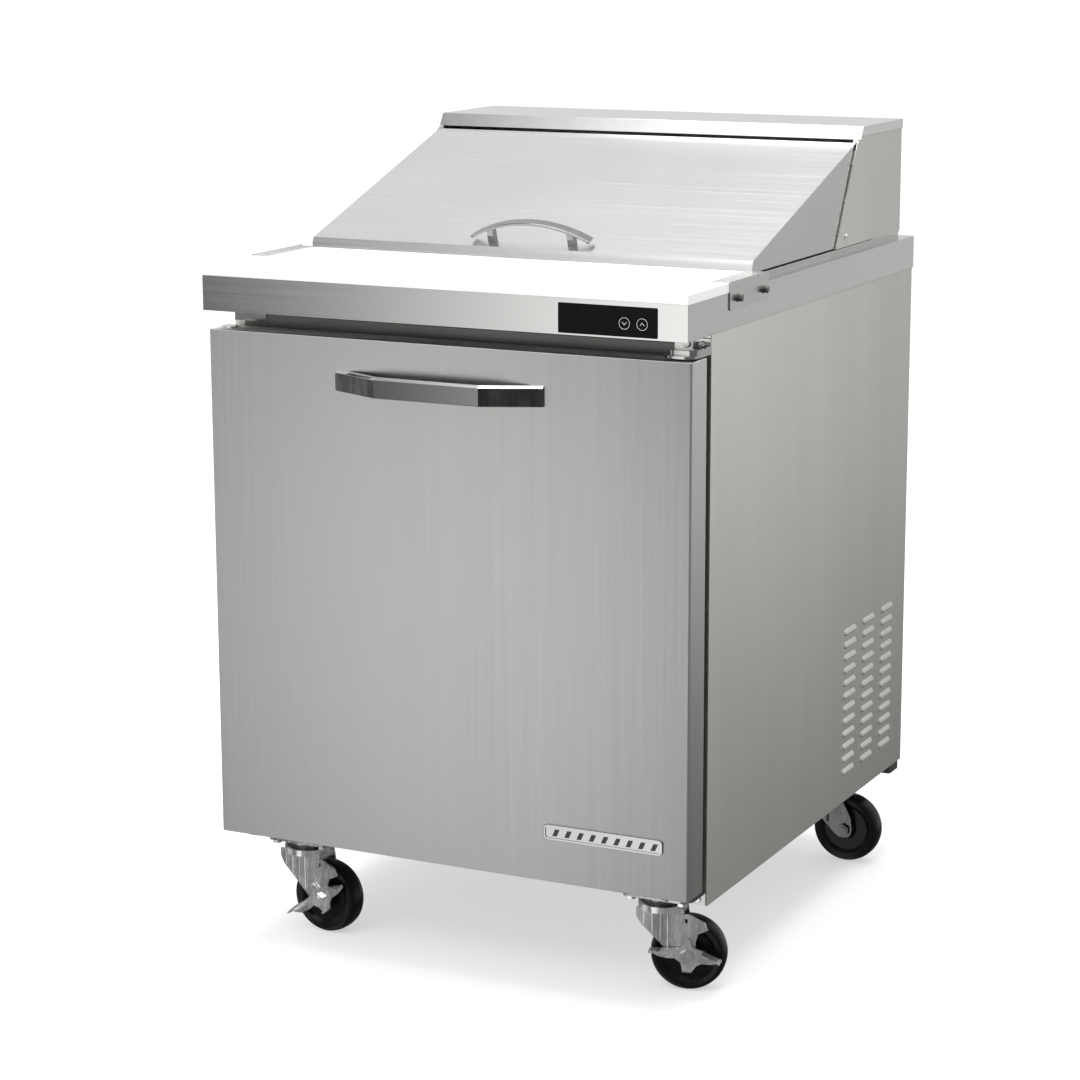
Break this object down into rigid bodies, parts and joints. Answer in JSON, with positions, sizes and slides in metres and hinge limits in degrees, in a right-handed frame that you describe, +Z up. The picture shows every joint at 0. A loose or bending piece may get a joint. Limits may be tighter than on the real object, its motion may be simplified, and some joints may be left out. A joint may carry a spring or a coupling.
{
  "type": "sandwich prep table",
  "caption": "Refrigerated prep table on casters, with one hinged door, a sloping hood lid over a pan rail, a cutting board and a control panel.",
  "frame": {"origin": "on the floor, at the centre of the overall footprint", "axes": "+Z up, door and cutting board face -Y, +X to the right seen from the front"},
  "size_m": [0.7196, 0.852, 1.0987],
  "materials": {
    "stainless_brushed": "fine vertical brush",
    "stainless_panel": "matte brushed",
    "stainless_bright": "polished",
    "chrome": "polished",
    "zinc": "bright zinc plate",
    "galvanised": "galvanised sheet",
    "steel_dark": "black nickel plate",
    "frame_dark": "satin",
    "board_white": "fine-textured food-grade plastic",
    "panel_black": "gloss",
    "circuit_green": "circuit board",
    "gasket_black": "soft magnetic seal",
    "rubber_black": "satin",
    "wheel_black": "smooth black tread",
    "plastic_black": "satin",
    "plastic_white": "vacuum-formed inner panel",
    "foam": "rigid foam",
    "liner_aluminium": "stucco-free sheet",
    "fins_aluminium": "mill",
    "compressor_black": "gloss enamel",
    "copper": "drawn copper",
    "wire_white": "plastic-coated wire"
  },
  "bodies": {
    "cabinet": {"right_side_panel": "stainless_panel", "left_side_panel": "stainless_panel", "base_pan": "galvanised", "front_frame": "frame_dark", "inner_liner": "liner_aluminium", "cabinet_insulation": "foam", "back_panel": "galvanised", "rear_grille": "galvanised", "cord_gland": "plastic_black", "countertop": "stainless_brushed", "cutting_board": "board_white", "board_brackets": "stainless_brushed", "thumb_screws": "steel_dark", "control_panel": "panel_black", "control_board": "circuit_green", "hood_housing": "stainless_panel", "hood_top_cover": "stainless_bright", "lid_hinge_pins": "zinc", "food_pans": "stainless_bright", "pan_divider_bars": "stainless_brushed", "hinge_plates": "zinc", "cabinet_screws": "zinc", "wire_shelves": "wire_white", "shelf_clips": "zinc", "evaporator_coil": "fins_aluminium", "evaporator_shroud": "liner_aluminium", "condenser_coil": "fins_aluminium", "condenser_shroud": "galvanised", "fan_motors": "compressor_black", "compressor": "compressor_black", "refrigerant_lines": "copper", "drain_pan": "galvanised", "caster_plates": "zinc", "caster_bolts": "zinc", "rear_bumpers": "rubber_black"},
    "door": {"door_skin": "stainless_brushed", "door_insulation": "foam", "door_hinge_bushes": "plastic_black", "door_plugs": "zinc", "door_liner": "plastic_black", "door_gasket": "gasket_black", "door_handle": "chrome", "door_badge": "chrome"},
    "lid": {"lid_shell": "stainless_brushed", "lid_liner": "plastic_white", "lid_handle": "chrome"},
    "down_key": {"key_down": "panel_black"},
    "up_key": {"key_up": "panel_black"},
    "evaporator_fan_wheel": {"evaporator_fan": "plastic_black"},
    "condenser_fan_wheel": {"condenser_fan": "plastic_black"},
    "front_right_caster": {"front_right_fork": "zinc"},
    "front_right_roller": {"front_right_wheel": "wheel_black"},
    "front_right_brake_lever": {"front_right_brake": "zinc"},
    "front_left_caster": {"front_left_fork": "zinc"},
    "front_left_roller": {"front_left_wheel": "wheel_black"},
    "front_left_brake_lever": {"front_left_brake": "zinc"},
    "rear_right_caster": {"rear_right_fork": "zinc"},
    "rear_right_roller": {"rear_right_wheel": "wheel_black"},
    "rear_left_caster": {"rear_left_fork": "zinc"},
    "rear_left_roller": {"rear_left_wheel": "wheel_black"}
  },
  "joints": [
    {"name": "door_hinge", "type": "hinge", "parent": "cabinet", "child": "door", "pos_m": [0.333, -0.362, 0.506], "axis": [0, 0, 1], "range_deg": [0, 110]},
    {"name": "lid_hinge", "type": "hinge", "parent": "cabinet", "child": "lid", "pos_m": [0, 0.2325, 1.0775], "axis": [-1, 0, 0], "range_deg": [0, 115]},
    {"name": "down_key_press", "type": "slide", "parent": "cabinet", "child": "down_key", "axis": [0, 1, 0], "range_m": [0, 0.0006], "stiffness_N_per_m": 400},
    {"name": "up_key_press", "type": "slide", "parent": "cabinet", "child": "up_key", "axis": [0, 1, 0], "range_m": [0, 0.0006], "stiffness_N_per_m": 400},
    {"name": "evaporator_fan_spin", "type": "hinge", "parent": "cabinet", "child": "evaporator_fan_wheel", "pos_m": [0, 0.258, 0.61], "axis": [0, 1, 0], "continuous": true},
    {"name": "condenser_fan_spin", "type": "hinge", "parent": "cabinet", "child": "condenser_fan_wheel", "pos_m": [0.16, 0.288, 0.255], "axis": [1, 0, 0], "continuous": true},
    {"name": "front_right_swivel", "type": "hinge", "parent": "cabinet", "child": "front_right_caster", "pos_m": [0.272, -0.29, 0.114], "axis": [0, 0, 1], "continuous": true},
    {"name": "front_right_wheel_spin", "type": "hinge", "parent": "front_right_caster", "child": "front_right_roller", "pos_m": [0.30581, -0.28094, 0.0508], "axis": [0.2588, -0.9659, 0], "continuous": true},
    {"name": "front_right_brake_press", "type": "hinge", "parent": "front_right_caster", "child": "front_right_brake_lever", "pos_m": [0.30581, -0.28094, 0.0508], "axis": [0.2588, -0.9659, 0], "range_deg": [0, 38]},
    {"name": "front_left_swivel", "type": "hinge", "parent": "cabinet", "child": "front_left_caster", "pos_m": [-0.272, -0.29, 0.114], "axis": [0, 0, 1], "continuous": true},
    {"name": "front_left_wheel_spin", "type": "hinge", "parent": "front_left_caster", "child": "front_left_roller", "pos_m": [-0.23713, -0.29305, 0.0508], "axis": [-0.0872, -0.9962, 0], "continuous": true},
    {"name": "front_left_brake_press", "type": "hinge", "parent": "front_left_caster", "child": "front_left_brake_lever", "pos_m": [-0.23713, -0.29305, 0.0508], "axis": [-0.0872, -0.9962, 0], "range_deg": [-38, 0]},
    {"name": "rear_right_swivel", "type": "hinge", "parent": "cabinet", "child": "rear_right_caster", "pos_m": [0.272, 0.314, 0.114], "axis": [0, 0, 1], "continuous": true},
    {"name": "rear_right_wheel_spin", "type": "hinge", "parent": "rear_right_caster", "child": "rear_right_roller", "pos_m": [0.307, 0.314, 0.0508], "axis": [0, -1, 0], "continuous": true},
    {"name": "rear_left_swivel", "type": "hinge", "parent": "cabinet", "child": "rear_left_caster", "pos_m": [-0.272, 0.314, 0.114], "axis": [0, 0, 1], "continuous": true},
    {"name": "rear_left_wheel_spin", "type": "hinge", "parent": "rear_left_caster", "child": "rear_left_roller", "pos_m": [-0.23713, 0.31705, 0.0508], "axis": [0.0872, -0.9962, 0], "continuous": true}
  ]
}
